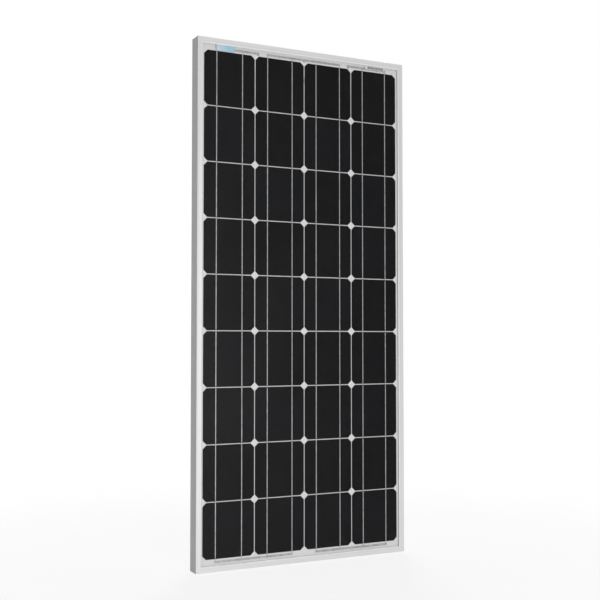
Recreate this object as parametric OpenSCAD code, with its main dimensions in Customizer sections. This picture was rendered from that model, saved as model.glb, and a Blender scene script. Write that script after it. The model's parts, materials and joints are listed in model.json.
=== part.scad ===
// Framed photovoltaic panel, standing upright. Its front faces -Y and its origin is
// the middle of its bottom edge, halfway through the depth of the frame.
// "Depth" means the distance behind the frame's front face, and "inset" means the
// distance inwards from the frame's outer face.

/* [Solar cells] */
// Side of one square cell
cell = 125; // [120:1:130]
// Diameter of the round ingot that takes the corners off each cell
ingot_d = 165; // [160:1:172]
// Gap between neighbouring cells
cell_gap = 2; // [1.5:0.5:3]
// Number of cells in one string
rows = 9; // [8:1:12]
// Width of a cell ribbon
ribbon_w = 2; // [1:0.1:2.5]
// Width of a bus ribbon, across the ends of the strings
bus_w = 5; // [3:0.5:6]

/* [Margins] */
// From the outer face of a long rail to the cells
side_margin = 17.5; // [16:0.5:30]
// From the outer face of a short rail to the cells
end_margin = 27; // [25:0.5:40]

/* [Frame] */
// Depth of the frame, from front lip to rear flange
panel_d = 35; // [35:1:40]
// Wall thickness of the extruded rails
wall = 1.6; // [1.2:0.1:2]
// How far the front lip reaches over the glass
lip_w = 11; // [9:0.5:12]
// Width of the rear flange on the two long rails
long_flange = 28; // [26:1:32]
// Width of the rear flange on the two short rails
short_flange = 20; // [16:1:22]
// Depth of the shallow grooves along the outer faces
groove_depth = 0.5; // [0.3:0.1:0.7]

/* [Laminate] */
// Thickness of the front glass
glass_t = 3.2; // [2.8:0.1:3.5]
// Thickness of the backsheet
backsheet_t = 0.35; // [0.3:0.05:0.5]

/* [Mounting] */
// Spacing of the two mounting slots in each long rail
slot_spacing = 860; // [600:10:900]
// Width of a mounting slot
slot_w = 9; // [7:0.5:10]
// Length of a mounting slot, end to end
slot_l = 14; // [12:0.5:20]

/* [Junction box] */
// Width of the junction box
box_w = 110; // [100:1:130]
// Height of the junction box
box_h = 90; // [84:1:110]
// From the top of the panel to the top of the junction box
box_drop = 36; // [34:1:60]
// Distance between the two cable glands
gland_spacing = 60; // [50:1:70]
// Diameter of the cable that a gland's seal takes
cable_d = 6; // [5:0.1:6.5]

/* [Hidden] */
$fn = 96;
eps = 1;                      // how far a cutter runs past the face that it cuts
columns = 4;
strings = [0, 1, 2, 3];
pitch = cell + cell_gap;
array_w = columns * pitch - cell_gap;
array_h = rows * pitch - cell_gap;
panel_w = array_w + 2 * side_margin;
panel_h = array_h + 2 * end_margin;
array_z0 = end_margin;
array_z1 = end_margin + array_h;

// Depths of the layers, from the front face backwards
lip_t = 1.5;
seal_t = 0.6;
seal_set_back = 0.6;          // from the lip's edge to the sealant
front_film_t = 0.4;
cell_t = 0.2;
ribbon_t = 0.2;
strip_t = 0.1;
lead_t = 0.2;
rear_film_cover = 0.3;
clear = 0.02;                 // keeps the films off what they hold
glass_at = lip_t + seal_t;
front_film_at = glass_at + glass_t;
ribbon_front_at = front_film_at + front_film_t + clear;
cell_at = ribbon_front_at + ribbon_t;
ribbon_rear_at = cell_at + cell_t;
strip_at = ribbon_rear_at + ribbon_t;
lead_at = strip_at + strip_t;
pocket_end = lead_at + lead_t + clear;
backsheet_at = pocket_end + rear_film_cover;
laminate_end = backsheet_at + backsheet_t;
channel_end = laminate_end + seal_t;

// Laminate outline
laminate_inset = 4;
laminate_w = panel_w - 2 * laminate_inset;
laminate_h = panel_h - 2 * laminate_inset;

// Rail chamber, which takes the corner keys
chamber_h = 10.4;
chamber_end = channel_end + wall + chamber_h + wall;
groove_w = 2.2;
groove_shares = [0.13, 0.43, 0.76];   // where the grooves lie, as shares of the depth
slot_inset = 15;
earth_hole_r = 2;
drain_hole_r = 2.5;
drain_hole_inset = 60;
key_leg = 42;
key_clear = 0.15;
key_notches = 4;
notch_pitch = 6;
notch_w = 2;
notch_depth = 0.6;

// Bus ribbons and output leads
bus_gap = 4;                  // from the cells to a bus ribbon
busbar_offset = 0.25;         // busbars lie this share of the pitch off a cell's centre line
bus_break = 14;               // break in the top middle bus, where the leads turn in
bus_overhang = 10;            // how far an outer top bus reaches past its own string
lead_w = 5;
lead_spacing = 22;
lead_drop = 42;               // from the top of the cells to where the leads turn out
lead_slot_w = 2 * lead_spacing + lead_w + 5;
lead_slot_h = 6;
lead_step_up = 2;             // from the cells to the step in a lead
lead_step_l = 0.8;
strip_overhang = 1;           // how far the insulation strip reaches past the cells
ribbon_inset = 1;             // from a cell's far edge to the end of its front ribbon
rear_ribbon_l = 110;

// Junction box, in depths and heights
pad_t = 1;
pad_inset = 1;                // from the edge of the foot to the adhesive
box_at = laminate_end + pad_t;
box_wall = 2.2;
box_corner = 6;
rim_at = 27;
gasket_t = 1;
gasket_inset = 0.3;
lid_at = rim_at + gasket_t;
lid_t = 2.5;
box_top = panel_h - box_drop;
box_bottom = box_top - box_h;
box_mid = (box_top + box_bottom) / 2;
floor_t = 2;
floor_end = box_at + floor_t;
foot_w = 5;
foot_t = 1.6;
lead_exit_z = array_z1 - lead_drop;
lead_run_z = lead_exit_z + 24;
lead_behind = lead_at + lead_t;
strip_half = pitch + 8;       // half the width of the insulation strip
window_h = 14;
window_room = 2;              // from the lead slot to the side of the window
side_rib_t = 1.2;
side_rib_w = 4;
side_rib_pitch = 28;

// Lid hinge
hinge_out = 4.5;              // from the top wall of the box to the hinge axis
hinge_at = 27.2;
knuckle_r = 3.2;
pin_r = 1.5;
pin_clear = 0.05;
knuckle_w = 6;
knuckle_gap = 0.3;
knuckle_half = (knuckle_w - knuckle_gap) / 2;
hinge_xs = [-34, 34];
hinge_z = box_top + hinge_out;
pin_l = 3 * knuckle_w;
bracket_t = 4;
bracket_bite = 0.5;
bracket_reach = 2.2;          // from the hinge axis to the top of a bracket
lid_arm = 4;                  // from the top of the box down to where a lid knuckle starts
skirt_gap = 0.8;
skirt_t = 1.8;
skirt_at = 22.5;
skirt_notch = 23;
skirt_drop = 8;               // from the top of the box to the ends of the skirt
tongue_l = 1.2;
tongue_gap = 0.6;
tongue_t = 1.4;
ring_h = 0.8;
ring_w = 2;
ring_inset = 8;
catch_w = 10;
catch_h = 0.6;
catch_t = 2;
catch_at = skirt_at + 2;
catch_room = 0.5;

// Terminals and diodes
terminal_w = 12;
terminal_t = 1.4;
terminal_at = floor_end + 2.6;
terminal_top = lead_exit_z + 3;
terminal_l = 46;
terminal_xs = [-lead_spacing, 0, lead_spacing];
terminal_end = terminal_top - terminal_l;
cage_l = 12;
cage_h = 7.5;
screw_z = terminal_end + 8;
screw_r = 1.8;
shank_l = 2.5;
head_r = 3;
head_t = 2.2;
screw_slot_w = 0.8;
screw_slot_depth = 1;
rib_w = 6;
rib_end = terminal_end - 4;
fin_t = 1.2;
fin_h = 8;
fin_xs = [-lead_spacing * 1.5, -lead_spacing / 2, lead_spacing / 2, lead_spacing * 1.5];
diode_z = terminal_top - 16;
fin_top = diode_z - 8;
diode_r = 2.7;
diode_l = 9;
diode_lift = 0.4;
diode_wire_r = 0.6;
diode_wire_inset = 2.5;       // from a terminal's centre line to the diode's wire

// Cable glands
gland_at = 18.6;
gland_xs = [-gland_spacing / 2, gland_spacing / 2];
boss_h = 1.2;
boss_r = 8.2;
thread_r = 6;
thread_l = 9;
gland_bore_r = 4.3;
gland_flats = 15;
collar_l = 4;
locknut_t = 3;
thread_over = 1;              // how far the thread stands out of the locknut
inner_l = boss_h + box_wall + locknut_t + thread_over;
seal_l = 8;
seal_clear = 0.05;
claw_gap = 0.3;
claw_start = collar_l + thread_l + claw_gap;
claw_t = 2.4;
claw_r = thread_r - 0.4;
claw_bore_r = cable_d / 2 + 0.6;
claw_slit = 0.8;
nut_clear = 0.06;
nut_start = collar_l + 0.4;
nut_inside_end = claw_start + claw_t + claw_gap;
nut_end_t = 2;
nut_r = 8.4;
nut_nose_r = 6;
nut_bore_r = cable_d / 2 + 0.8;
nut_grips = 12;
grip_w = 1.8;
grip_h = 0.6;
grip_bite = 0.5;

// Labels
label_t = 0.1;
sticker_w = 45;
sticker_h = 15;
sticker_up = 0.7;             // from the cells to the bottom of the sticker
sticker_lead = 3;             // from the first ribbon's centre line to the sticker's left end
serial_w = 54;
serial_h = 7;
serial_up = 5.5;
serial_shift = 26;            // from the column's centre line to the label's left end
rating_w = 100;
rating_h = 64;
rating_drop = 330;            // from the top of the panel to the label's centre

// ---- helpers ----

function y_at(depth) = depth - panel_d / 2;
function column_x(i) = (i - (columns - 1) / 2) * pitch;
function row_z(i) = array_z0 + cell / 2 + i * pitch;
function busbar_x(i, side) = column_x(i) + side * busbar_offset * pitch;

// A block from x0 to x1 and z0 to z1, t thick, with its front face at the given depth
module block(x0, x1, z0, z1, depth, t) {
    translate([x0, y_at(depth), z0]) cube([x1 - x0, t, z1 - z0]);
}

// A flat layer centred on the panel
module layer(w, h, depth, t) {
    block(-w / 2, w / 2, (panel_h - h) / 2, (panel_h + h) / 2, depth, t);
}

// A bent strip, w wide, centred on x. Its side view is a list of [depth, height] points
module strip(x, w, points) {
    translate([x - w / 2, -panel_d / 2, 0])
        rotate([90, 0, 90])
            linear_extrude(w) polygon(points);
}

// Turns a flat outline, drawn in X and height, into a plate t thick behind the given depth
module plate(depth, t) {
    translate([0, y_at(depth) + t, 0])
        rotate([90, 0, 0])
            linear_extrude(t) children();
}

// A rod along the depth of the panel
module rod(x, z, depth, l, r) {
    translate([x, y_at(depth), z]) rotate([-90, 0, 0]) cylinder(h = l, r = r);
}

// A rod along X, centred on x
module cross_rod(x, depth, z, l, r) {
    translate([x - l / 2, y_at(depth), z]) rotate([0, 90, 0]) cylinder(h = l, r = r);
}

module rounded_rect(w, h, r) {
    square([w - 2 * r, h], center = true);
    square([w, h - 2 * r], center = true);
    for (sx = [-1, 1], sz = [-1, 1])
        translate([sx * (w / 2 - r), sz * (h / 2 - r)]) circle(r);
}

module upside_down() {
    translate([0, 0, panel_h]) mirror([0, 0, 1]) children();
}

// ---- frame ----

// Section of a rail: inset along X, depth along Y
module rail_section(flange) {
    difference() {
        union() {
            square([wall, panel_d]);
            square([lip_w, lip_t]);
            translate([0, channel_end]) square([lip_w, wall]);
            translate([0, chamber_end - wall]) square([lip_w, wall]);
            translate([lip_w - wall, channel_end]) square([wall, chamber_end - channel_end]);
            translate([0, panel_d - wall]) square([flange, wall]);
        }
        for (share = groove_shares)
            translate([-eps, share * panel_d - groove_w / 2]) square([groove_depth + eps, groove_w]);
    }
}

// A rail along +Z with its outer face at X = 0, cut at 45 degrees at both ends
module rail(length, flange) {
    intersection() {
        linear_extrude(length) rail_section(flange);
        translate([0, panel_d + eps, 0])
            rotate([90, 0, 0])
                linear_extrude(panel_d + 2 * eps)
                    polygon([
                        [-eps, -eps], [flange + eps, flange + eps],
                        [flange + eps, length - flange - eps], [-eps, length + eps]
                    ]);
    }
}

// A slot through the rear flange, running along the rail
module mounting_slot(z) {
    for (end = [-1, 1])
        translate([slot_inset, panel_d - wall - eps, z + end * (slot_l - slot_w) / 2])
            rotate([-90, 0, 0]) cylinder(h = wall + 2 * eps, d = slot_w);
    translate([slot_inset - slot_w / 2, panel_d - wall - eps, z - (slot_l - slot_w) / 2])
        cube([slot_w, wall + 2 * eps, slot_l - slot_w]);
}

module long_rail() {
    difference() {
        rail(panel_h, long_flange);
        for (side = [-1, 1]) mounting_slot(panel_h / 2 + side * slot_spacing / 2);
        translate([slot_inset, panel_d - wall - eps, panel_h / 2])
            rotate([-90, 0, 0]) cylinder(h = wall + 2 * eps, r = earth_hole_r);
    }
}

module short_rail() {
    difference() {
        rail(panel_w, short_flange);
        for (z = [drain_hole_inset, panel_w - drain_hole_inset])
            translate([-eps, (chamber_end + panel_d - wall) / 2, z])
                rotate([0, 90, 0]) cylinder(h = wall + 2 * eps, r = drain_hole_r);
    }
}

module frame_left() {
    color("#c9cbcd") translate([-panel_w / 2, -panel_d / 2, 0]) long_rail();
}

module frame_right() {
    color("#c9cbcd") mirror([1, 0, 0]) translate([-panel_w / 2, -panel_d / 2, 0]) long_rail();
}

module frame_bottom() {
    color("#c9cbcd")
        translate([-panel_w / 2, -panel_d / 2, 0]) mirror([1, 0, -1]) short_rail();
}

module frame_top() {
    color("#c9cbcd")
        upside_down()
            translate([-panel_w / 2, -panel_d / 2, 0]) mirror([1, 0, -1]) short_rail();
}

// An L that fills the chambers of two rails where they meet, at the bottom left corner
module corner_key() {
    near = wall + key_clear;
    far = lip_w - wall - key_clear;
    thickness = chamber_h - 2 * key_clear;
    translate([-panel_w / 2, 0, 0])
        plate(channel_end + wall + key_clear, thickness)
            difference() {
                polygon([
                    [near, near], [key_leg, near], [key_leg, far],
                    [far, far], [far, key_leg], [near, key_leg]
                ]);
                for (i = [1 : key_notches]) {
                    along = far + i * notch_pitch;
                    translate([along, near - eps]) square([notch_w, notch_depth + eps]);
                    translate([near - eps, along]) square([notch_depth + eps, notch_w]);
                }
            }
}

module corner_key_bottom_left() {
    color("#a8abad") corner_key();
}

module corner_key_bottom_right() {
    color("#a8abad") mirror([1, 0, 0]) corner_key();
}

module corner_key_top_left() {
    color("#a8abad") upside_down() corner_key();
}

module corner_key_top_right() {
    color("#a8abad") upside_down() mirror([1, 0, 0]) corner_key();
}

// ---- laminate ----

// A U-shaped bead all round, between the rails' channels and the edge of the laminate
module edge_sealant() {
    window_inset = lip_w - seal_set_back;
    color("#e6e6e2") difference() {
        layer(panel_w - 2 * wall, panel_h - 2 * wall, lip_t, channel_end - lip_t);
        layer(laminate_w, laminate_h, glass_at, laminate_end - glass_at);
        layer(panel_w - 2 * window_inset, panel_h - 2 * window_inset, 0, panel_d);
    }
}

module front_glass() {
    color("#9fb4bd", 0.3) layer(laminate_w, laminate_h, glass_at, glass_t);
}

module front_encapsulant() {
    color("#dfe6e8", 0.3) layer(laminate_w, laminate_h, front_film_at, front_film_t);
}

// Opening in the rear film and the backsheet for the three output leads
module lead_slot() {
    block(-lead_slot_w / 2, lead_slot_w / 2, lead_exit_z - lead_slot_h / 2,
          lead_exit_z + lead_slot_h / 2, front_film_at + front_film_t - eps, panel_d);
}

module rear_encapsulant() {
    film_at = front_film_at + front_film_t;
    side_room = 0.2;
    end_room = 1;
    ends = bus_gap + bus_w + end_room;
    color("#dfe6e8", 0.3) difference() {
        layer(laminate_w, laminate_h, film_at, backsheet_at - film_at);
        for (i = strings)
            block(column_x(i) - cell / 2 - side_room, column_x(i) + cell / 2 + side_room,
                  array_z0 - ends, array_z1 + ends, film_at - eps, strip_at - film_at + eps);
        for (z = [array_z0 - ends, array_z1])
            block(-array_w / 2, array_w / 2, z, z + ends, film_at - eps, strip_at - film_at + eps);
        block(-strip_half - end_room, strip_half + end_room, lead_exit_z - lead_slot_h,
              array_z1 + ends, film_at - eps, pocket_end - film_at + eps);
        lead_slot();
    }
}

module backsheet() {
    color("#f4f4f2") difference() {
        layer(laminate_w, laminate_h, backsheet_at, backsheet_t);
        lead_slot();
    }
}

// One string: a column of separate wafers with cropped corners
module cell_string(i) {
    color("#15171b")
        for (k = [0 : rows - 1])
            translate([column_x(i), 0, row_z(k)])
                plate(cell_at, cell_t)
                    intersection() {
                        square(cell, center = true);
                        circle(d = ingot_d);
                    }
}

module cell_string_1() { cell_string(0); }
module cell_string_2() { cell_string(1); }
module cell_string_3() { cell_string(2); }
module cell_string_4() { cell_string(3); }

// Ribbons of a string whose cells show their front contacts at the top end. Each one
// lies along the front of a cell, bends through the gap and lies behind the next cell.
module ribbon_column(x) {
    reach = bus_gap + bus_w;
    for (k = [0 : rows - 2]) {
        start = row_z(k) - cell / 2 + ribbon_inset;
        bend = row_z(k) + cell / 2;
        next = bend + cell_gap;
        strip(x, ribbon_w, [
            [ribbon_front_at, start], [ribbon_front_at, bend], [ribbon_rear_at, next],
            [ribbon_rear_at, next + rear_ribbon_l], [strip_at, next + rear_ribbon_l],
            [strip_at, next], [cell_at, bend], [cell_at, start]
        ]);
    }
    block(x - ribbon_w / 2, x + ribbon_w / 2, row_z(rows - 1) - cell / 2 + ribbon_inset,
          array_z1 + reach, ribbon_front_at, ribbon_t);
    block(x - ribbon_w / 2, x + ribbon_w / 2, array_z0 - reach,
          array_z0 + rear_ribbon_l, ribbon_rear_at, ribbon_t);
}

module string_ribbons(i) {
    color("#b9bcbf")
        for (side = [-1, 1])
            if (i % 2 == 0) ribbon_column(busbar_x(i, side));
            else upside_down() ribbon_column(busbar_x(i, side));
}

module string_ribbons_1() { string_ribbons(0); }
module string_ribbons_2() { string_ribbons(1); }
module string_ribbons_3() { string_ribbons(2); }
module string_ribbons_4() { string_ribbons(3); }

// ---- bus ribbons and output leads ----

module bus(x0, x1) {
    block(x0, x1, array_z1 + bus_gap, array_z1 + bus_gap + bus_w, cell_at, cell_t);
}

module bus_top_left() {
    color("#aeb2b5") bus(busbar_x(0, -1) - ribbon_w, column_x(0) + pitch / 2 + bus_overhang);
}

module bus_top_middle() {
    color("#aeb2b5") {
        bus(busbar_x(1, -1) - ribbon_w, -bus_break / 2);
        bus(bus_break / 2, busbar_x(2, 1) + ribbon_w);
    }
}

module bus_top_right() {
    color("#aeb2b5") bus(column_x(3) - pitch / 2 - bus_overhang, busbar_x(3, 1) + ribbon_w);
}

module bus_bottom_left() {
    color("#aeb2b5") upside_down() bus(busbar_x(0, -1) - ribbon_w, busbar_x(1, 1) + ribbon_w);
}

module bus_bottom_right() {
    color("#aeb2b5") upside_down() bus(busbar_x(2, -1) - ribbon_w, busbar_x(3, 1) + ribbon_w);
}

// The start of a lead: from the back of a bus it steps down behind the cells
module lead_start(x, z_end) {
    top = array_z1 + bus_gap + bus_w;
    step = array_z1 + lead_step_up;
    strip(x, lead_w, [
        [ribbon_rear_at, top], [ribbon_rear_at, step], [lead_at, step - lead_step_l],
        [lead_at, z_end], [lead_behind, z_end],
        [lead_behind, step], [strip_at, step + lead_step_l], [strip_at, top]
    ]);
}

// The end of a lead: it runs down, turns out through the backsheet and lies on a terminal
module lead_end(x, z_start) {
    block(x - lead_w / 2, x + lead_w / 2, lead_exit_z, z_start, lead_at, lead_t);
    block(x - lead_w / 2, x + lead_w / 2, lead_exit_z, lead_exit_z + lead_t,
          lead_at, terminal_at - lead_at);
}

module outer_lead(side) {
    start_x = side * (column_x(3) - pitch / 2 - bus_overhang + lead_w / 2);
    end_x = side * lead_spacing;
    lead_start(start_x, lead_run_z);
    block(min(start_x, end_x) - lead_w / 2, max(start_x, end_x) + lead_w / 2,
          lead_run_z - lead_w, lead_run_z, lead_at, lead_t);
    lead_end(end_x, lead_run_z);
}

module lead_left() {
    color("#b4a58c") outer_lead(-1);
}

module lead_right() {
    color("#b4a58c") outer_lead(1);
}

module lead_middle() {
    half = bus_break / 2 + lead_w;
    color("#b4a58c") {
        block(-half, half, array_z1 + bus_gap, array_z1 + bus_gap + bus_w, ribbon_rear_at, ribbon_t);
        lead_start(0, lead_exit_z);
        lead_end(0, lead_run_z);
    }
}

// A white film that keeps the leads off the backs of the top cells
module insulation_strip() {
    color("#f0f0ec")
        block(-strip_half, strip_half, lead_exit_z + lead_slot_h, array_z1 + strip_overhang,
              strip_at, strip_t);
}

// ---- junction box ----

module box_outline(grow) {
    translate([0, box_mid]) rounded_rect(box_w + 2 * grow, box_h + 2 * grow, max(1, box_corner + grow));
}

module window_outline() {
    translate([-lead_slot_w / 2 - window_room, lead_exit_z - window_h / 2])
        square([lead_slot_w + 2 * window_room, window_h]);
}

module adhesive_pad() {
    color("#3a3b3d")
        plate(laminate_end, pad_t) difference() {
            box_outline(foot_w - pad_inset);
            window_outline();
        }
}

// A fixed knuckle: a ring round the hinge pin, on a bracket from the wall of the box
module fixed_knuckle(x) {
    ring_front = hinge_at - knuckle_r;
    inside = box_top - box_wall / 2;
    cross_rod(x, hinge_at, hinge_z, 2 * knuckle_half, knuckle_r);
    block(x - knuckle_half, x + knuckle_half, inside, hinge_z,
          ring_front, rim_at - ring_front);
    block(x - knuckle_half, x + knuckle_half, inside, hinge_z + bracket_reach,
          ring_front - bracket_t, bracket_t + bracket_bite);
}

module box_base() {
    color("#1b1c1e") difference() {
        union() {
            plate(box_at, foot_t) box_outline(foot_w);
            plate(box_at, rim_at - box_at) box_outline(0);
            for (x = hinge_xs, side = [-1, 1]) fixed_knuckle(x + side * knuckle_w);
            for (x = gland_xs)
                translate([x, y_at(gland_at), box_bottom])
                    mirror([0, 0, 1]) cylinder(h = boss_h, r = boss_r);
            for (x = [-box_w / 2, box_w / 2], place = [-1, 0, 1]) {
                z = box_mid + place * side_rib_pitch;
                block(x - side_rib_t / 2, x + side_rib_t / 2,
                      z - side_rib_w / 2, z + side_rib_w / 2, box_at, skirt_at - box_at - eps);
            }
            block(-catch_w / 2, catch_w / 2, box_bottom - catch_h, box_bottom + eps,
                  catch_at, catch_t);
        }
        difference() {
            plate(floor_end, panel_d) box_outline(-box_wall);
            for (x = terminal_xs)
                block(x - rib_w / 2, x + rib_w / 2, rib_end, terminal_top,
                      floor_end - eps, terminal_at - floor_end + eps);
            for (x = fin_xs)
                block(x - fin_t / 2, x + fin_t / 2, rib_end, fin_top,
                      floor_end - eps, fin_h + eps);
        }
        plate(box_at - eps, panel_d) window_outline();
        for (x = gland_xs)
            translate([x, y_at(gland_at), box_bottom - boss_h - eps])
                cylinder(h = boss_h + box_wall + 2 * eps, r = thread_r);
        for (x = hinge_xs) cross_rod(x, hinge_at, hinge_z, pin_l + 2 * eps, pin_r);
    }
}

module hinge_pins() {
    color("#b8bbbe") for (x = hinge_xs) cross_rod(x, hinge_at, hinge_z, pin_l, pin_r);
}

// Sits on the rim of the box, under the lid
module lid_gasket() {
    color("#2c2e30")
        plate(rim_at, gasket_t) difference() {
            box_outline(-gasket_inset);
            box_outline(gasket_inset - box_wall);
        }
}

// The part of an outline below the given height
module below(z) {
    intersection() {
        children();
        translate([-box_w, z - 2 * box_h]) square([2 * box_w, 2 * box_h]);
    }
}

// The lid's plate, with a skirt round three sides and one knuckle in each hinge. The
// skirt leaves room for the glands and has a window over the catch on the box.
module box_lid() {
    outside = box_bottom - 2 * skirt_t;
    skirt_inside = box_bottom - skirt_gap / 2;
    color("#222325") difference() {
        union() {
            plate(lid_at, lid_t) below(box_top) box_outline(skirt_gap + skirt_t);
            plate(skirt_at, lid_at - skirt_at) below(box_top - skirt_drop) difference() {
                box_outline(skirt_gap + skirt_t);
                box_outline(skirt_gap);
            }
            plate(lid_at - tongue_l, tongue_l) difference() {
                box_outline(-box_wall - tongue_gap);
                box_outline(-box_wall - tongue_gap - tongue_t);
            }
            plate(lid_at + lid_t, ring_h) difference() {
                box_outline(-ring_inset);
                box_outline(-ring_inset - ring_w);
            }
            for (x = hinge_xs) {
                cross_rod(x, hinge_at, hinge_z, 2 * knuckle_half, knuckle_r);
                block(x - knuckle_half, x + knuckle_half, box_top - lid_arm, hinge_z,
                      lid_at, hinge_at + knuckle_r - lid_at);
            }
        }
        for (x = hinge_xs)
            cross_rod(x, hinge_at, hinge_z, 3 * knuckle_half, pin_r + pin_clear);
        for (x = gland_xs)
            block(x - skirt_notch / 2, x + skirt_notch / 2, outside, skirt_inside,
                  skirt_at - eps, lid_at - skirt_at + eps);
        block(-catch_w / 2 - catch_room, catch_w / 2 + catch_room, outside, skirt_inside,
              catch_at - catch_room, catch_t + 2 * catch_room);
    }
}

// A tinned copper bar on the box's ribs, with a raised cage over the cable's end
module terminal(x) {
    half = terminal_w / 2;
    cage_z = screw_z - cage_l / 2;
    color("#bfa98a") difference() {
        union() {
            block(x - half, x + half, terminal_end, terminal_top, terminal_at, terminal_t);
            block(x - half, x + half, cage_z, cage_z + cage_l, terminal_at, cage_h);
        }
        block(x - half + terminal_t, x + half - terminal_t, cage_z - eps, cage_z + cage_l + eps,
              terminal_at + terminal_t, cage_h - 2 * terminal_t);
        rod(x, screw_z, terminal_at + cage_h - terminal_t - eps, terminal_t + 2 * eps, screw_r);
    }
}

module terminal_left() { terminal(terminal_xs[0]); }
module terminal_middle() { terminal(terminal_xs[1]); }
module terminal_right() { terminal(terminal_xs[2]); }

module terminal_screws() {
    head_at = terminal_at + cage_h;
    color("#c4c6c8")
        for (x = terminal_xs)
            difference() {
                union() {
                    rod(x, screw_z, head_at - shank_l, shank_l, screw_r);
                    rod(x, screw_z, head_at, head_t, head_r);
                }
                block(x - head_r - eps, x + head_r + eps, screw_z - screw_slot_w / 2,
                      screw_z + screw_slot_w / 2, head_at + head_t - screw_slot_depth,
                      screw_slot_depth + eps);
            }
}

// A diode bridging two neighbouring terminals
module bypass_diode(x) {
    bar_rear = terminal_at + terminal_t;
    over = bar_rear + diode_r + diode_lift;
    reach = lead_spacing / 2 - diode_wire_inset;
    color("#28292b") {
        cross_rod(x, over, diode_z, diode_l, diode_r);
        cross_rod(x, over, diode_z, 2 * reach + 2 * diode_wire_r, diode_wire_r);
        for (side = [-1, 1])
            rod(x + side * reach, diode_z, bar_rear, over - bar_rear, diode_wire_r);
    }
}

module bypass_diode_left() { bypass_diode(-lead_spacing / 2); }
module bypass_diode_right() { bypass_diode(lead_spacing / 2); }

// ---- cable glands ----

// Places a gland part, drawn along +Z away from the box, under the left or right entry
module at_gland(side) {
    translate([side * gland_spacing / 2, y_at(gland_at), box_bottom - boss_h])
        mirror([0, 0, 1]) children();
}

module hexagon(h) {
    cylinder(h = h, r = gland_flats / 2 / cos(30), $fn = 6);
}

module gland_body(side) {
    color("#26282a") at_gland(side) difference() {
        union() {
            translate([0, 0, -inner_l]) cylinder(h = inner_l, r = thread_r);
            hexagon(collar_l);
            cylinder(h = collar_l + thread_l, r = thread_r);
        }
        translate([0, 0, -inner_l - eps])
            cylinder(h = inner_l + collar_l + thread_l + 2 * eps, r = gland_bore_r);
    }
}

module gland_body_left() { gland_body(-1); }
module gland_body_right() { gland_body(1); }

module gland_locknuts() {
    color("#26282a")
        for (side = [-1, 1])
            at_gland(side)
                translate([0, 0, thread_over - inner_l]) difference() {
                    hexagon(locknut_t);
                    translate([0, 0, -eps]) cylinder(h = locknut_t + 2 * eps, r = thread_r);
                }
}

module gland_seal(side) {
    color("#101112") at_gland(side)
        translate([0, 0, collar_l + thread_l - seal_l]) difference() {
            cylinder(h = seal_l, r = gland_bore_r - seal_clear);
            translate([0, 0, -eps]) cylinder(h = seal_l + 2 * eps, d = cable_d);
        }
}

module gland_seal_left() { gland_seal(-1); }
module gland_seal_right() { gland_seal(1); }

// A slit ring that the nut presses on the seal
module gland_claw(side) {
    color("#3c3e40") at_gland(side)
        translate([0, 0, claw_start]) difference() {
            cylinder(h = claw_t, r = claw_r);
            translate([0, 0, -eps]) cylinder(h = claw_t + 2 * eps, r = claw_bore_r);
            for (turn = [0, 60, 120])
                rotate([0, 0, turn]) translate([-thread_r, -claw_slit / 2, -eps])
                    cube([2 * thread_r, claw_slit, claw_t / 2 + eps]);
        }
}

module gland_claw_left() { gland_claw(-1); }
module gland_claw_right() { gland_claw(1); }

module gland_nut(side) {
    nose_start = nut_start + thread_l;
    nut_end = nut_inside_end + nut_end_t;
    color("#222426") at_gland(side) difference() {
        union() {
            translate([0, 0, nut_start]) cylinder(h = thread_l, r = nut_r);
            translate([0, 0, nose_start])
                cylinder(h = nut_end - nose_start, r1 = nut_r, r2 = nut_nose_r);
            for (i = [0 : nut_grips - 1])
                rotate([0, 0, i * 360 / nut_grips])
                    translate([nut_r - grip_bite, -grip_w / 2, nut_start])
                        cube([grip_bite + grip_h, grip_w, thread_l]);
        }
        translate([0, 0, nut_start - eps])
            cylinder(h = nut_inside_end - nut_start + eps, r = thread_r + nut_clear);
        translate([0, 0, nut_inside_end - eps])
            cylinder(h = nut_end_t + 2 * eps, r = nut_bore_r);
    }
}

module gland_nut_left() { gland_nut(-1); }
module gland_nut_right() { gland_nut(1); }

// ---- labels ----

module front_sticker() {
    left = busbar_x(0, -1) - sticker_lead;
    bottom = array_z1 + sticker_up;
    color("#7fb6d6")
        block(left, left + sticker_w, bottom, bottom + sticker_h, glass_at - label_t, label_t);
}

module serial_label() {
    left = column_x(3) - serial_shift;
    bottom = array_z1 + serial_up;
    color("#e9e9e6")
        block(left, left + serial_w, bottom, bottom + serial_h, glass_at - label_t, label_t);
}

module rating_label() {
    middle = panel_h - rating_drop;
    color("#dfe1e2")
        block(-rating_w / 2, rating_w / 2, middle - rating_h / 2, middle + rating_h / 2,
              laminate_end, label_t);
}

// ---- assembly ----

frame_left();
frame_right();
frame_top();
frame_bottom();
corner_key_top_left();
corner_key_top_right();
corner_key_bottom_left();
corner_key_bottom_right();
edge_sealant();
front_glass();
front_encapsulant();
rear_encapsulant();
backsheet();
cell_string_1();
cell_string_2();
cell_string_3();
cell_string_4();
string_ribbons_1();
string_ribbons_2();
string_ribbons_3();
string_ribbons_4();
bus_top_left();
bus_top_middle();
bus_top_right();
bus_bottom_left();
bus_bottom_right();
lead_left();
lead_middle();
lead_right();
insulation_strip();
adhesive_pad();
box_base();
box_lid();
lid_gasket();
hinge_pins();
terminal_left();
terminal_middle();
terminal_right();
terminal_screws();
bypass_diode_left();
bypass_diode_right();
gland_body_left();
gland_body_right();
gland_locknuts();
gland_seal_left();
gland_seal_right();
gland_claw_left();
gland_claw_right();
gland_nut_left();
gland_nut_right();
front_sticker();
serial_label();
rating_label();
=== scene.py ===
"""The looks of a framed photovoltaic panel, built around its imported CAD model.

Everything is in metres in the model's own axes: +Z up, and the glass faces -Y. A rect is
(x low, x high, z low, z high).
"""

import json
import math
import random

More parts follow.
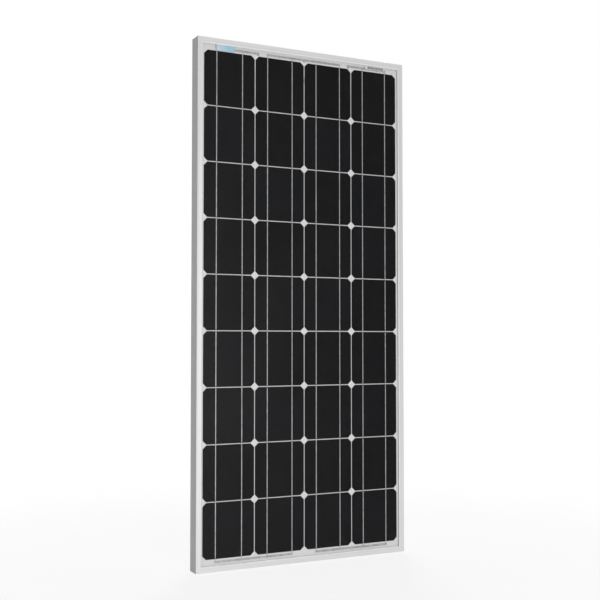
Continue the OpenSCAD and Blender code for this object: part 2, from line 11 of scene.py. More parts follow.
import bmesh
import bpy
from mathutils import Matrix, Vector


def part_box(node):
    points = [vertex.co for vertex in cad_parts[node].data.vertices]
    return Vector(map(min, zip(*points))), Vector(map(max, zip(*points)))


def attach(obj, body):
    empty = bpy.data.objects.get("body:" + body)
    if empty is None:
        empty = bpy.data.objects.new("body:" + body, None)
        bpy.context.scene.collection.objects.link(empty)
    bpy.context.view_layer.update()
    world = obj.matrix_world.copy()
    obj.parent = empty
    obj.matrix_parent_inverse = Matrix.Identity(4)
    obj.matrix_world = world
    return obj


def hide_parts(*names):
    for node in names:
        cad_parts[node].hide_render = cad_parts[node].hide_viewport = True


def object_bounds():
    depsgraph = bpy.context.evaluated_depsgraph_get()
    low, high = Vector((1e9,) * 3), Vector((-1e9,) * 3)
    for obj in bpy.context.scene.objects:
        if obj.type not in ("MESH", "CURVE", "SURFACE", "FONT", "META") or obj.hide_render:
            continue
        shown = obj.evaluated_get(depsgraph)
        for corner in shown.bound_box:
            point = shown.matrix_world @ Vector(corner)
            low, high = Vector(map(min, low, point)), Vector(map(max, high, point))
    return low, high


MM = 0.001
WHITE = (1, 1, 1, 1)
DUST = (0.30, 0.29, 0.27, 1)
FINGER_SILVER = (0.16, 0.165, 0.17, 1)

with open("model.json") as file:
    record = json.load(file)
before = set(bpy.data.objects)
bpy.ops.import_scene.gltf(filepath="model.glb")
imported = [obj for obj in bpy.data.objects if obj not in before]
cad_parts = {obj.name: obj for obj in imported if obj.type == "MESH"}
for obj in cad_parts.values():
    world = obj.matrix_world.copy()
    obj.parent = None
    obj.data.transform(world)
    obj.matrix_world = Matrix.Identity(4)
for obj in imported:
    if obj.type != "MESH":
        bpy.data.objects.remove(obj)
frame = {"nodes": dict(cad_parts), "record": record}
cad_low, cad_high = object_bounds()
nodes = frame["nodes"]
base_colours = {m["slot"]: m["base_color"][:3] for m in frame["record"]["materials"]}
node_slots = {part["node"]: part["material_slot"] for part in frame["record"]["subparts"]}
random.seed(7)


# ---- finishes ----


class NodeTree:
    """The nodes of a material or a world, under construction."""

    def __init__(self, owner):
        owner.use_nodes = True
        self.tree = owner.node_tree

    def node(self, kind, inputs=None, **settings):
        """Adds a node. Each input is a value or the socket that feeds it."""
        made = self.tree.nodes.new("ShaderNode" + kind)
        for setting, value in settings.items():
            setattr(made, setting, value)
        self.feed(made, inputs or {})
        return made

    def feed(self, node, inputs):
        """Sets or links a node's inputs, by name or by number."""
        for key, value in inputs.items():
            if isinstance(value, bpy.types.NodeSocket):
                self.tree.links.new(value, node.inputs[key])
            else:
                node.inputs[key].default_value = value


class Finish(NodeTree):
    """A procedural material under construction, around its Principled shader."""

    def __init__(self, slot, name=None):
        self.colour = base_colours[slot]
        self.material = bpy.data.materials.new(name or slot)
        super().__init__(self.material)
        self.shader = self.tree.nodes["Principled BSDF"]
        self.place = self.node("TexCoord").outputs["Object"]

    def shade(self, factor, tint=(1, 1, 1)):
        """The finish's own colour, made lighter or darker, and tinted."""
        return (*(min(1, c * factor * t) for c, t in zip(self.colour, tint)), 1)

    def noise(self, scale, detail=2.0, stretch=(1, 1, 1)):
        """Noise with about scale lumps to a metre. A stretch under 1 draws them out on its axis."""
        vector = self.node("Mapping", {"Vector": self.place, "Scale": stretch}).outputs[0]
        return self.node("TexNoise", {"Vector": vector, "Scale": scale, "Detail": detail}).outputs[0]

    def ramp(self, value, low, high, start, end):
        """Maps low..high to start..end, and holds the ends."""
        inputs = {"Value": value, "From Min": low, "From Max": high, "To Min": start, "To Max": end}
        return self.node("MapRange", inputs).outputs[0]

    def maths(self, operation, *values):
        """Adds a Math node. Each value is a number or a socket."""
        return self.node("Math", dict(enumerate(values)), operation=operation).outputs[0]

    def mix(self, factor, start, end):
        """Mixes two colours: the node's inputs 6 and 7 are its colour inputs."""
        return self.node("Mix", {0: factor, 6: start, 7: end}, data_type="RGBA").outputs[2]

    def bump(self, height, distance):
        """Gives the surface relief: distance is its depth in metres."""
        inputs = {"Height": height, "Distance": distance}
        self.feed(self.shader, {"Normal": self.node("Bump", inputs).outputs[0]})

    def surface(self, inputs):
        """Feeds the Principled shader and returns the finished material."""
        self.feed(self.shader, inputs)
        return self.material


def anodised(along):
    """Satin anodised extrusion: die lines along the rail, soft cloudiness and a few scuffs."""
    finish = Finish("anodised_frame", "anodised_along_" + along.lower())
    neutral = (1.012, 1, 0.988)
    drawn_out = 0.004
    stretch = (1, 1, drawn_out) if along == "Z" else (drawn_out, 1, 1)
    lines = finish.noise(700, 3, stretch)
    broad_lines = finish.noise(160, 2, stretch)
    cloud = finish.noise(9, 3)
    scuffs = finish.ramp(finish.noise(420, 4, (0.25, 1, 0.12)), 0.70, 0.80, 0, 0.35)
    tone = finish.ramp(finish.maths("ADD", lines, broad_lines), 0.7, 1.3, 0, 1)
    streaked = finish.mix(tone, finish.shade(0.88, neutral), finish.shade(1.06, neutral))
    clouded = finish.mix(finish.ramp(cloud, 0.35, 0.7, 0, 0.4), streaked, finish.shade(0.93, neutral))
    colour = finish.mix(scuffs, clouded, finish.shade(1.15, neutral))
    grain = finish.noise(5200, 1)
    finish.bump(finish.maths("ADD", lines, finish.maths("MULTIPLY", grain, 0.4)), 0.02 * MM)
    roughness = finish.ramp(finish.maths("ADD", lines, grain), 0.7, 1.3, 0.36, 0.50)
    return finish.surface({"Base Color": colour, "Roughness": roughness, "Metallic": 0.15})


def mill_metal(slot, metallic, roughness):
    """Plain drawn or cut metal: fine lines along X, and slightly dull patches."""
    finish = Finish(slot)
    lines = finish.noise(2600, 2, (0.04, 1, 1))
    dull = finish.ramp(finish.noise(90, 3), 0.4, 0.7, 0, 1)
    colour = finish.mix(dull, finish.shade(1.05), finish.shade(0.9))
    finish.bump(lines, 0.006 * MM)
    rough = finish.ramp(finish.maths("ADD", lines, dull), 0.3, 1.4, roughness - 0.05, roughness + 0.08)
    return finish.surface({"Base Color": colour, "Metallic": metallic, "Roughness": rough})


def tinned_ribbon():
    """Solder-dipped copper: slightly wavy, with brighter and duller stretches."""
    finish = Finish("ribbon_tinned")
    waves = finish.noise(140, 2)
    ripple = finish.noise(900, 2)
    colour = finish.mix(finish.ramp(waves, 0.3, 0.7, 0, 1), finish.shade(0.72), finish.shade(1.1))
    finish.bump(finish.maths("ADD", waves, finish.maths("MULTIPLY", ripple, 0.3)), 0.12 * MM)
    roughness = finish.ramp(ripple, 0.3, 0.7, 0.3, 0.45)
    return finish.surface({"Base Color": colour, "Metallic": 0.3, "Roughness": roughness})


def silicon(grid_x, grid_z, pitch):
    """Coated silicon: one tone for each wafer, faint cloud, and fine printed fingers.

    The wafers lie on a square grid that starts at grid_x and grid_z.
    """
    finish = Finish("cell_silicon")
    finger_pitch, finger_width = 1.9 * MM, 0.09 * MM
    axes = finish.node("SeparateXYZ", {0: finish.place}).outputs
    across_array = finish.maths("SUBTRACT", axes[0], grid_x)
    height = finish.maths("SUBTRACT", axes[2], grid_z)
    column = finish.maths("FLOOR", finish.maths("DIVIDE", across_array, pitch))
    row = finish.maths("FLOOR", finish.maths("DIVIDE", height, pitch))
    wafer = finish.node("CombineXYZ", {0: column, 1: row, 2: 0.5}).outputs[0]
    tone = finish.node("TexWhiteNoise", {"Vector": wafer}).outputs[0]
    plain = finish.mix(tone, finish.shade(0.38, (1.05, 1, 0.8)), finish.shade(0.6, (1, 1, 0.85)))
    cloud = finish.ramp(finish.noise(22, 3), 0.4, 0.7, 0, 0.4)
    clouded = finish.mix(cloud, plain, finish.shade(0.8, (1, 1, 0.85)))
    finger = finish.maths("LESS_THAN", finish.maths("MODULO", height, finger_pitch), finger_width)
    faint = finish.maths("MULTIPLY", finger, 0.25)
    colour = finish.mix(faint, clouded, FINGER_SILVER)
    finish.bump(finish.noise(3000, 2), 0.01 * MM)
    roughness = finish.ramp(finish.noise(60, 2), 0.3, 0.7, 0.42, 0.55)
    return finish.surface({"Base Color": colour, "Roughness": roughness, "Specular IOR Level": 0.12})


def matt_film(slot, grain_scale, tone=1.0):
    """White film or paper: a faint warm mottle and the fine grain of its matt face."""
    finish = Finish(slot)
    mottle = finish.ramp(finish.noise(120, 4), 0.3, 0.75, 0, 1)
    colour = finish.mix(mottle, finish.shade(tone), finish.shade(0.975 * tone, (1, 0.998, 0.99)))
    grain = finish.noise(grain_scale, 2)
    finish.bump(grain, 0.02 * MM)
    roughness = finish.ramp(grain, 0.3, 0.7, 0.48, 0.62)
    return finish.surface({"Base Color": colour, "Roughness": roughness, "Specular IOR Level": 0.35})


def moulded(slot, roughness, grain_scale=1800, dust=0.05):
    """Moulded plastic or rubber: spark-eroded grain, uneven gloss and a trace of fine dust."""
    finish = Finish(slot)
    grain = finish.noise(grain_scale, 3)
    patches = finish.ramp(finish.noise(28, 3), 0.35, 0.7, 0, 1)
    toned = finish.mix(patches, finish.shade(0.85), finish.shade(1.2))
    specks = finish.ramp(finish.noise(2400, 4), 0.55, 0.8, 0, dust)
    colour = finish.mix(specks, toned, DUST)
    finish.bump(grain, 0.05 * MM)
    gloss = finish.maths("ADD", grain, patches)
    rough = finish.ramp(gloss, 0.4, 1.5, roughness - 0.07, roughness + 0.1)
    return finish.surface({"Base Color": colour, "Roughness": rough})


def silicone(slot, roughness):
    """Cured silicone, smoothed by hand: small lumps and a soft sheen."""
    finish = Finish(slot)
    lumps = finish.noise(120, 3)
    colour = finish.mix(finish.ramp(lumps, 0.3, 0.7, 0, 1), finish.shade(0.92), finish.shade(1.04))
    finish.bump(lumps, 0.3 * MM)
    rough = finish.ramp(finish.noise(500, 2), 0.3, 0.7, roughness - 0.05, roughness + 0.08)
    return finish.surface({"Base Color": colour, "Roughness": rough})


def solar_glass():
    """Clear coated glass: light passes, and only a weak, soft reflection stays on its face."""
    finish = Finish("solar_glass")
    coated_ior = 1.2
    clear_tint = (0.956, 0.952, 0.952, 1)
    texture = finish.noise(1400, 3)
    smears = finish.noise(7, 4, (1, 1, 0.5))
    normal = finish.node("Bump", {"Height": texture, "Distance": 0.012 * MM}).outputs[0]
    roughness = finish.ramp(smears, 0.35, 0.7, 0.22, 0.34)
    gloss = finish.node("BsdfGlossy", {"Color": WHITE, "Roughness": roughness, "Normal": normal})
    clear = finish.node("BsdfTransparent", {"Color": clear_tint})
    fresnel = finish.node("Fresnel", {"IOR": coated_ior, "Normal": normal}).outputs[0]
    from_inside = finish.node("NewGeometry").outputs["Backfacing"]
    share = finish.maths("MULTIPLY", fresnel, finish.maths("SUBTRACT", 1.0, from_inside))
    mixed = finish.node("MixShader", {0: share, 1: clear.outputs[0], 2: gloss.outputs[0]})
    finish.feed(finish.tree.nodes["Material Output"], {"Surface": mixed.outputs[0]})
    return finish.material


def blue_film(rect):
    """A plain sticker whose print fades from lilac-grey to blue along its length."""
    finish = Finish("sticker_blue")
    x_low, x_high = rect[:2]
    fade_end = x_low + 0.7 * (x_high - x_low)
    x = finish.node("SeparateXYZ", {0: finish.place}).outputs[0]
    fade = finish.ramp(x, x_low, fade_end, 0, 1)
    lilac = finish.shade(1.0, (2.3, 1.28, 1.1))
    blue = finish.shade(1.0, (1.4, 1.18, 1.06))
    patchy = finish.ramp(finish.noise(250, 2), 0.3, 0.7, -0.12, 0.12)
    blend = finish.node("Clamp", {"Value": finish.maths("ADD", fade, patchy)}).outputs[0]
    finish.bump(finish.noise(1600, 2), 0.01 * MM)
    roughness = finish.ramp(finish.noise(300, 2), 0.3, 0.7, 0.35, 0.45)
    return finish.surface({"Base Color": finish.mix(blend, lilac, blue), "Roughness": roughness})


def ink(slot, name, tone):
    """Printed ink: dark, slightly uneven."""
    finish = Finish(slot, name)
    coverage = finish.ramp(finish.noise(900, 3), 0.3, 0.7, 0, 1)
    colour = finish.mix(coverage, finish.shade(tone), finish.shade(tone * 1.6))
    finish.bump(finish.noise(2500, 2), 0.005 * MM)
    roughness = finish.ramp(coverage, 0, 1, 0.45, 0.6)
    return finish.surface({"Base Color": colour, "Roughness": roughness})


def clear_film():
    """Encapsulant film, for the CAD nodes that the pane replaces, so it doesn't show."""
    finish = Finish("film_clear")
    haze = finish.ramp(finish.noise(40, 3), 0.3, 0.7, 0.25, 0.4)
    finish.bump(finish.noise(900, 2), 0.01 * MM)
    return finish.surface({"Base Color": finish.shade(1), "Roughness": haze, "Alpha": 0.08})


# ---- places and sizes from the CAD model ----

string_low, string_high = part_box("cell_string_1")
next_string_low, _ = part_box("cell_string_2")
glass_low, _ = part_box("front_glass")
ribbon_low, ribbon_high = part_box("string_ribbons_1")
sheet_low, sheet_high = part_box("backsheet")
_, pad_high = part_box("adhesive_pad")

# Sizes and counts of the CAD model that no node's box gives
CELL_GAP = 2 * MM
RIBBON_WIDTH = 2 * MM
LIP = 11 * MM
LIP_DEPTH = 1.5 * MM
LEAD_SLOT_WIDTH, LEAD_SLOT_HEIGHT = 54 * MM, 6 * MM
COLUMNS = 4

CELL_SIDE = string_high.x - string_low.x
PITCH = next_string_low.x - string_low.x
ROWS = round((string_high.z - string_low.z + CELL_GAP) / PITCH)
LIP_OPENING = (cad_low.x + LIP, cad_high.x - LIP, cad_low.z + LIP, cad_high.z - LIP)
BACKSHEET_RELIEF = 0.3 * MM


def rect_of(node):
    """The rect that a node's box covers, seen from the front."""
    low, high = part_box(node)
    return low.x, high.x, low.z, high.z


# ---- mesh helpers ----

ARC_STEPS = 6
SHARP_ANGLE = math.radians(35)


def rounded_loop(rect, radius, grow, y, spacing):
    """Points round a rounded rectangle, grown outwards. A straight side gets one each spacing."""
    x0, x1, z0, z1 = rect
    reach = radius + grow
    corners = [(x1 - radius, z1 - radius), (x0 + radius, z1 - radius),
               (x0 + radius, z0 + radius), (x1 - radius, z0 + radius)]
    points = []
    for quarter, (cx, cz) in enumerate(corners):
        for step in range(ARC_STEPS + 1):
            angle = (quarter + step / ARC_STEPS) * math.pi / 2
            points.append(Vector((cx + reach * math.cos(angle), y, cz + reach * math.sin(angle))))
        next_x, next_z = corners[(quarter + 1) % 4]
        ahead = Vector((next_x - cx, 0, next_z - cz))
        stretches = max(1, round(math.hypot(next_x - cx, next_z - cz) / spacing))
        last = points[-1]
        points.extend(last + ahead * (step / stretches) for step in range(1, stretches))
    return points


def sweep(rect, radius, profile, closed=False, spacing=1.0, wobble=0.0):
    """Sweeps a profile of (grow, y) points round a rounded rectangle, as a ring or a plate.

    A wobble moves all but the profile's two end points in y, as a hand-laid bead swells and thins.
    """
    mesh = bmesh.new()
    loops = []
    for grow, y in profile:
        points = rounded_loop(rect, radius, grow, y, spacing)
        loops.append([mesh.verts.new(point) for point in points])
    swell = [random.uniform(-wobble, wobble) for _ in loops[0]]
    behind, ahead = swell[-1:] + swell[:-1], swell[1:] + swell[:1]
    smooth_swell = [sum(amounts) / 3 for amounts in zip(behind, swell, ahead)]
    for loop in loops[1:-1]:
        for vertex, amount in zip(loop, smooth_swell):
            vertex.co.y += amount
    pairs = list(zip(loops, loops[1:]))
    if closed:
        pairs.append((loops[-1], loops[0]))
    for near, far in pairs:
        for i in range(len(near)):
            j = (i + 1) % len(near)
            mesh.faces.new((near[i], near[j], far[j], far[i]))
    if not closed:
        mesh.faces.new(loops[0])
        mesh.faces.new(loops[-1])
    bmesh.ops.recalc_face_normals(mesh, faces=mesh.faces)
    return mesh


def add_plate(mesh, rect, front, rear, edge):
    """Adds a thin rectangular plate with chamfered edges to a mesh."""
    x0, x1, z0, z1 = rect
    loops = []
    for inset, y in ((edge, front), (0, front + edge), (0, rear - edge), (edge, rear)):
        corners = ((x0 + inset, z0 + inset), (x1 - inset, z0 + inset),
                   (x1 - inset, z1 - inset), (x0 + inset, z1 - inset))
        loops.append([mesh.verts.new((x, y, z)) for x, z in corners])
    for near, far in zip(loops, loops[1:]):
        for i in range(4):
            j = (i + 1) % 4
            mesh.faces.new((near[i], near[j], far[j], far[i]))
    mesh.faces.new(loops[0])
    mesh.faces.new(loops[-1])


def make_piece(name, mesh, material, body="panel", smooth=True):
    """Turns a bmesh into an object that rides on a body and takes the finish it is given."""
    bmesh.ops.recalc_face_normals(mesh, faces=mesh.faces)
    data = bpy.data.meshes.new(name)
    mesh.to_mesh(data)
    mesh.free()
    data.materials.append(material)
    piece = bpy.data.objects.new(name, data)
    bpy.context.scene.collection.objects.link(piece)
    if smooth:
        data.shade_smooth()
        data.set_sharp_from_angle(angle=SHARP_ANGLE)
    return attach(piece, body)


# ---- pieces ----

BEAD_SPACING = 9 * MM
BAR_WIDTHS = (1, 1.6, 2.4)
BAR_EDGE, INK_EDGE = 0.01 * MM, 0.005 * MM
INK_HEIGHT, INK_BED = 0.03 * MM, 0.01 * MM
CARD_EASE_WIDTH, CARD_EASE_DEPTH = 0.05 * MM, 0.01 * MM


def laminate_glass(material):
    """The pane: the glass and both clear films, from the glass's face to the ribbons."""
    clearance, chamfer, corner = 0.02 * MM, 0.8 * MM, 2 * MM
    rear = ribbon_low.y - clearance
    profile = [(-chamfer, glass_low.y), (0, glass_low.y + chamfer),
               (0, rear - chamfer), (-chamfer, rear)]
    mesh = sweep(rect_of("front_glass"), corner, profile)
    pane = make_piece("laminate_glass", mesh, material)
    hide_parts("front_glass", "front_encapsulant", "rear_encapsulant")


def rise(value, low, high, slope):
    """1 between low and high, falling smoothly to 0 over a slope outside them."""
    outside = max(low - value, value - high, 0) / slope
    t = min(outside, 1)
    return 1 - t * t * (3 - 2 * t)


def feature_lines(edges, offsets, low, high):
    """Grid lines round each edge of a feature, between low and high, to the micrometre."""
    lines = {round(edge + offset, 6) for edge in edges for offset in offsets}
    return [low] + sorted(line for line in lines if low < line < high) + [high]


def cell_span(start, i):
    """The low and high edge of the i-th cell in a row or a column of cells."""
    low = start + i * PITCH
    return low, low + CELL_SIDE


def ribbon_spans(columns):
    """The two edges of every ribbon that runs up the array, two ribbons to a column."""
    inset = ribbon_low.x - string_low.x
    spans = []
    for low, high in columns:
        spans.append((low + inset, low + inset + RIBBON_WIDTH))
        spans.append((high - inset - RIBBON_WIDTH, high - inset))
    return spans


def embossed_backsheet(material):
    """The backsheet: lamination draws it down over the cells, their ribbons and the buses.

    Its rear face stands up over them, and a slot lets the leads through.
    """
    slope = 1.2 * MM
    # How far each lifts the rear face, as a share of the whole relief
    cells_up, ribbons_up, buses_up = 0.4, 0.6, 0.8
    columns = [cell_span(string_low.x, i) for i in range(COLUMNS)]
    rows = [cell_span(string_low.z, i) for i in range(ROWS)]
    ribbons = ribbon_spans(columns)
    buses = [rect_of(name) for name in ("bus_top_left", "bus_top_middle", "bus_top_right",
                                        "bus_bottom_left", "bus_bottom_right")]
    slot_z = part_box("lead_middle")[0].z
    hole = (-LEAD_SLOT_WIDTH / 2, LEAD_SLOT_WIDTH / 2,
            slot_z - LEAD_SLOT_HEIGHT / 2, slot_z + LEAD_SLOT_HEIGHT / 2)

    def relief(x, z):
        """How far the rear face stands up at a point, from 0 to 1."""
        in_column = max(rise(x, *span, slope) for span in columns)
        in_row = max(rise(z, *span, slope) for span in rows)
        on_ribbon = max(rise(x, *span, slope) for span in ribbons)
        on_ribbon *= rise(z, ribbon_low.z, ribbon_high.z, slope)
        on_bus = max(rise(x, r[0], r[1], slope) * rise(z, r[2], r[3], slope) for r in buses)
        return min(1, max(cells_up * in_column * in_row + ribbons_up * on_ribbon, buses_up * on_bus))

    offsets = [step * slope / 2 for step in (-2, -1, 0, 1, 2)]
    x_edges = [edge for span in columns + ribbons for edge in span]
    z_edges = [edge for span in rows + [r[2:] for r in buses] for edge in span]
    xs = sorted(set(feature_lines(x_edges, offsets, sheet_low.x, sheet_high.x)) | set(hole[:2]))
    zs = sorted(set(feature_lines(z_edges, offsets, sheet_low.z, sheet_high.z)) | set(hole[2:]))

    mesh = bmesh.new()
    flat = sheet_high.y - BACKSHEET_RELIEF
    rear = [[mesh.verts.new((x, flat + BACKSHEET_RELIEF * relief(x, z), z)) for z in zs] for x in xs]
    front = [[mesh.verts.new((x, sheet_low.y, z)) for z in zs] for x in xs]
    for i in range(len(xs) - 1):
        for k in range(len(zs) - 1):
            if hole[0] <= xs[i] < hole[1] and hole[2] <= zs[k] < hole[3]:
                continue
            for grid in (rear, front):
                mesh.faces.new((grid[i][k], grid[i + 1][k], grid[i + 1][k + 1], grid[i][k + 1]))
    partner = {a: b for behind, ahead in zip(rear, front) for a, b in zip(behind, ahead)}
    rims = [e for e in mesh.edges if e.is_boundary and e.verts[0] in partner]
    for edge in rims:
        a, b = edge.verts
        mesh.faces.new((a, b, partner[b], partner[a]))
    loose = [v for v in mesh.verts if not v.link_faces]
    bmesh.ops.delete(mesh, geom=loose, context="VERTS")
    sheet = make_piece("backsheet_embossed", mesh, material)
    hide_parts("backsheet")


def bead(name, rect, radius, profile, material, wobble=0.25 * MM):
    """A bead of silicone laid round a rectangle."""
    mesh = sweep(rect, radius, profile, closed=True, spacing=BEAD_SPACING, wobble=wobble)
    make_piece(name, mesh, material)


def perimeter_bead(material):
    """White silicone in the corner between the rails and the backsheet, all round the back."""
    back, corner = sheet_high.y, 5 * MM
    profile = [(0.1 * MM, back - 0.1 * MM), (0.1 * MM, back + 2.6 * MM),
               (-0.6 * MM, back + 2.4 * MM), (-1.5 * MM, back + 1.5 * MM),
               (-2.5 * MM, back + 0.5 * MM), (-3.0 * MM, back - 0.1 * MM)]
    bead("perimeter_bead", LIP_OPENING, corner, profile, material)


def front_fillet(material):
    """The fine fillet of sealant in the corner between the front lip and the glass."""
    front, glass, corner = cad_low.y, glass_low.y, 2 * MM
    lip_rear = front + LIP_DEPTH
    profile = [(0, lip_rear), (0, front + 0.3 * MM), (-0.8 * MM, front + 0.8 * MM),
               (-1.6 * MM, lip_rear), (-2.2 * MM, glass), (0.5 * MM, glass), (0.5 * MM, lip_rear)]
    bead("front_fillet", LIP_OPENING, corner, profile, material, wobble=0.04 * MM)


def box_bead(material):
    """Black silicone squeezed out round the foot of the junction box."""
    back, foot_under, corner = sheet_high.y, pad_high.y, 10 * MM
    profile = [(-1.5 * MM, back), (-1.5 * MM, foot_under), (1.3 * MM, foot_under - 0.02 * MM),
               (2.2 * MM, back + 0.55 * MM), (2.6 * MM, back - 0.05 * MM)]
    bead("box_bead", rect_of("adhesive_pad"), corner, profile, material)


def sticker(material):
    """The plain blue sticker, with its front edges eased down to half its thickness."""
    low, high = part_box("front_sticker")
    thickness = high.y - low.y
    corner, ease = 1.5 * MM, 0.1 * MM
    profile = [(-ease, low.y), (0, low.y + thickness / 2), (0, high.y)]
    mesh = sweep(rect_of("front_sticker"), corner, profile)
    piece = make_piece("sticker_plain", mesh, material)
    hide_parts("front_sticker")


def bars(mesh, rect, front, rear, count, gap):
    """Fills a rectangle with upright bars. Widths and gap are in units of the thinnest bar."""
    x0, x1, z0, z1 = rect
    widths = [random.choice(BAR_WIDTHS) for _ in range(count)]
    unit = (x1 - x0) / (sum(widths) + gap * (count - 1))
    x = x0
    for width in widths:
        add_plate(mesh, (x, x + width * unit, z0, z1), front, rear, BAR_EDGE)
        x += (width + gap) * unit


def code_label(paper, dark):
    """A white label on the glass, with a row of dark dashes that mean nothing."""
    low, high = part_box("serial_label")
    x0, x1, z0, z1 = rect_of("serial_label")
    corner = 1 * MM
    left_margin, right_margin, edge_margin = 7.5 * MM, 3 * MM, 1.2 * MM
    face = low.y + INK_HEIGHT
    profile = [(-CARD_EASE_WIDTH, face), (0, face + CARD_EASE_DEPTH), (0, high.y)]
    mesh = sweep((x0, x1, z0, z1), corner, profile)
    card = make_piece("code_card", mesh, paper)
    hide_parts("serial_label")
    dashes = bmesh.new()
    row = (x0 + left_margin, x1 - right_margin, z0 + edge_margin, z1 - edge_margin)
    bars(dashes, row, low.y, face + INK_BED, count=30, gap=0.6)
    make_piece("code_dashes", dashes, dark, smooth=False)


def rear_label(paper, dark):
    """The rating label: a bordered card with a code and rows of plain bars."""
    low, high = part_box("rating_label")
    x0, x1, z0, z1 = rect_of("rating_label")
    corner, margin, rule = 2 * MM, 3 * MM, 0.5 * MM
    front, face, proud = low.y, high.y - INK_HEIGHT, high.y
    profile = [(0, front), (0, face - CARD_EASE_DEPTH), (-CARD_EASE_WIDTH, face)]
    mesh = sweep((x0, x1, z0, z1), corner, profile)
    card = make_piece("rating_card", mesh, paper)
    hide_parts("rating_label")
    marks = bmesh.new()
    left, right, bottom, top = x0 + margin, x1 - margin, z0 + margin, z1 - margin
    borders = ((left, right, bottom, bottom + rule), (left, right, top - rule, top),
               (left, left + rule, bottom, top), (right - rule, right, bottom, top))
    for rect in borders:
        add_plate(marks, rect, face - INK_BED, proud, INK_EDGE)
    rows, row_height, shortest_share = 8, 1.1 * MM, 0.55
    first_row, last_row = top - 7 * MM, bottom + 16 * MM
    text_columns = ((right - 4 * MM, 34 * MM), (right - 52 * MM, 22 * MM))
    for row in range(rows):
        z = first_row - row * (first_row - last_row) / (rows - 1)
        for start, longest in text_columns:
            length = longest * random.uniform(shortest_share, 1)
            bar = (start - length, start, z, z + row_height)
            add_plate(marks, bar, face - INK_BED, proud, INK_EDGE)
    code = (left + 6 * MM, left + 54 * MM, bottom + 4 * MM, bottom + 12 * MM)
    bars(marks, code, face - INK_BED, proud, count=34, gap=0.8)
    make_piece("rating_marks", marks, dark, smooth=False)


# ---- CAD nodes: finishes and softened edges ----


def soften(node, width):
    """Joins a CAD mesh's split edges and rounds its corners, so that they catch the light.

    Flat faces are made whole first, because a bevel leaves hairlines in long thin triangles.
    """
    piece = nodes[node]
    weld = piece.modifiers.new("weld", "WELD")
    weld.merge_threshold = 0.002 * MM
    flats = piece.modifiers.new("flats", "DECIMATE")
    flats.decimate_type = "DISSOLVE"
    flats.angle_limit = math.radians(0.5)
    edges = piece.modifiers.new("soft_edges", "BEVEL")
    edges.width = width
    edges.segments = 2
    edges.limit_method = "ANGLE"
    edges.angle_limit = math.radians(40)
    edges.harden_normals = True


finishes = {
    "key_aluminium": mill_metal("key_aluminium", metallic=0.8, roughness=0.4),
    "sealant": silicone("sealant", roughness=0.5),
    "solar_glass": solar_glass(),
    "film_clear": clear_film(),
    "backsheet_white": matt_film("backsheet_white", grain_scale=2200),
    "cell_silicon": silicon(string_low.x - CELL_GAP / 2, string_low.z - CELL_GAP / 2, PITCH),
    "ribbon_tinned": tinned_ribbon(),
    "insulation_film": matt_film("insulation_film", grain_scale=1600),
    "adhesive": silicone("adhesive", roughness=0.42),
    "box_plastic": moulded("box_plastic", roughness=0.45),
    "lid_plastic": moulded("lid_plastic", roughness=0.42),
    "gland_plastic": moulded("gland_plastic", roughness=0.4, grain_scale=2600, dust=0.04),
    "rubber_black": moulded("rubber_black", roughness=0.7, grain_scale=1200, dust=0.1),
    "pin_steel": mill_metal("pin_steel", metallic=1.0, roughness=0.28),
    "terminal_metal": mill_metal("terminal_metal", metallic=1.0, roughness=0.32),
    "diode_body": moulded("diode_body", roughness=0.3, grain_scale=3000, dust=0.02),
    "sticker_blue": blue_film(rect_of("front_sticker")),
    "label_paper": matt_film("label_paper", grain_scale=2600),
}
rail_finishes = {
    "frame_left": anodised("Z"),
    "frame_right": anodised("Z"),
    "frame_top": anodised("X"),
    "frame_bottom": anodised("X"),
}
for node_name, piece in nodes.items():
    piece.data.materials.clear()
    piece.data.materials.append(rail_finishes.get(node_name) or finishes[node_slots[node_name]])

# Widths of the softened edges, in millimetres
SOFT_EDGES = {
    "frame_left": 0.35, "frame_right": 0.35, "frame_top": 0.35, "frame_bottom": 0.35,
    "box_base": 0.3, "box_lid": 0.4,
    "gland_body_left": 0.25, "gland_body_right": 0.25,
    "gland_nut_left": 0.25, "gland_nut_right": 0.25,
}
for node_name, width in SOFT_EDGES.items():
    soften(node_name, width * MM)

laminate_glass(finishes["solar_glass"])
embossed_backsheet(finishes["backsheet_white"])
perimeter_bead(finishes["sealant"])
front_fillet(finishes["sealant"])
box_bead(finishes["adhesive"])
sticker(finishes["sticker_blue"])
code_paper = matt_film("label_paper", grain_scale=2600, tone=0.9)
code_label(code_paper, ink("label_paper", "ink_dark", tone=0.09))
rear_label(finishes["label_paper"], ink("label_paper", "ink_grey", tone=0.12))


# ---- floor, world, lights and camera ----

FLOOR_SIZE = 9.0
FLOOR_COLOUR = (0.93, 0.93, 0.93, 1)
FLOOR_NEAR, FLOOR_FAR = 0.4, 1.5
FLOOR_CLEAR = 0.84
AMBIENT = 0.36


def polar(target, azimuth, elevation, distance):
    """A point round a target: azimuth 0 is in front of the glass, and 90 to the right of it."""
    a, e = math.radians(azimuth), math.radians(elevation)
    away = Vector((math.sin(a) * math.cos(e), -math.cos(a) * math.cos(e), math.sin(e)))
    return Vector(target) + away * distance


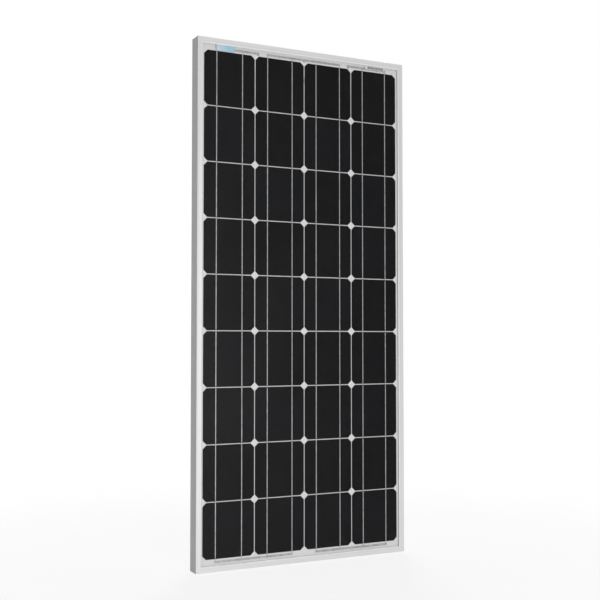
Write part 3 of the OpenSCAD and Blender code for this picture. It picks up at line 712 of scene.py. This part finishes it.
def pale_floor():
    """A pale, partly clear floor that fades to the white surroundings away from the panel."""
    bpy.ops.mesh.primitive_plane_add(size=FLOOR_SIZE, location=(0, 0, cad_low.z))
    floor = bpy.context.object
    floor.name = "floor"
    material = bpy.data.materials.new("floor_pale")
    pale = NodeTree(material)
    place = pale.node("TexCoord").outputs["Object"]
    distance = pale.node("VectorMath", {0: place}, operation="LENGTH").outputs["Value"]
    limits = {"From Min": FLOOR_NEAR, "From Max": FLOOR_FAR, "To Min": FLOOR_CLEAR, "To Max": 1}
    fade = pale.node("MapRange", {"Value": distance, **limits}, interpolation_type="SMOOTHSTEP")
    shader = pale.tree.nodes["Principled BSDF"]
    pale.feed(shader, {"Base Color": FLOOR_COLOUR, "Roughness": 0.9})
    clear = pale.node("BsdfTransparent")
    mixed = pale.node("MixShader", {0: fade.outputs[0], 1: shader.outputs[0], 2: clear.outputs[0]})
    pale.feed(pale.tree.nodes["Material Output"], {"Surface": mixed.outputs[0]})
    floor.data.materials.append(material)


def surroundings():
    """White behind the panel for the camera, and a soft grey studio for all other light.

    The studio is darker to the right of the front, which the glass mirrors.
    """
    dark_azimuth, dark_elevation = 38, 6
    dark_core, dark_edge, dark_share = 9, 25, 0.15
    world = bpy.data.worlds.new("studio")
    bpy.context.scene.world = world
    around = NodeTree(world)
    direction = around.node("TexCoord").outputs["Generated"]
    dark_middle = polar((0, 0, 0), dark_azimuth, dark_elevation, 1)
    towards = around.node("VectorMath", {0: direction, 1: dark_middle}, operation="DOT_PRODUCT")
    limits = {"From Min": math.cos(math.radians(dark_edge)), "To Min": AMBIENT,
              "From Max": math.cos(math.radians(dark_core)), "To Max": AMBIENT * dark_share}
    shade = around.node("MapRange", {"Value": towards.outputs["Value"], **limits},
                        interpolation_type="SMOOTHSTEP")
    studio = around.tree.nodes["Background"]
    around.feed(studio, {"Color": shade.outputs[0]})
    backdrop = around.node("Background", {"Color": WHITE})
    seen = around.node("LightPath").outputs["Is Camera Ray"]
    mixed = around.node("MixShader", {0: seen, 1: studio.outputs[0], 2: backdrop.outputs[0]})
    around.feed(around.tree.nodes["World Output"], {"Surface": mixed.outputs[0]})


def softbox(name, azimuth, elevation, distance, size, watts):
    """A round soft light that faces the middle of the panel."""
    lamp = bpy.data.lights.new(name, "AREA")
    lamp.shape = "DISK"
    lamp.size = size
    lamp.energy = watts
    place = bpy.data.objects.new(name, lamp)
    target = Vector((0, 0, (cad_low.z + cad_high.z) / 2))
    place.location = polar(target, azimuth, elevation, distance)
    place.rotation_mode = "QUATERNION"
    place.rotation_quaternion = (target - place.location).to_track_quat("-Z", "Y")
    bpy.context.scene.collection.objects.link(place)


def camera():
    """The view from the left of the panel's front, a little below its middle."""
    azimuth, elevation, distance, lens = -27.0, -2.3, 2.37, 61.0
    aim_right, aim_up = -14 * MM, 9 * MM
    aim = Vector((aim_right, cad_low.y, (cad_low.z + cad_high.z) / 2 + aim_up))
    data = bpy.data.cameras.new("camera")
    data.lens = lens
    place = bpy.data.objects.new("camera", data)
    place.location = polar(aim, azimuth, elevation, distance)
    place.rotation_mode = "QUATERNION"
    place.rotation_quaternion = (aim - place.location).to_track_quat("-Z", "Y")
    bpy.context.scene.collection.objects.link(place)
    bpy.context.scene.camera = place


bpy.context.scene.view_settings.view_transform = "Standard"
pale_floor()
surroundings()
softbox("key", azimuth=-8, elevation=-5, distance=2.7, size=1.2, watts=46)
softbox("overhead", azimuth=-5, elevation=62, distance=3.0, size=2.0, watts=5)
softbox("rear", azimuth=150, elevation=38, distance=3.0, size=1.2, watts=46)
camera()
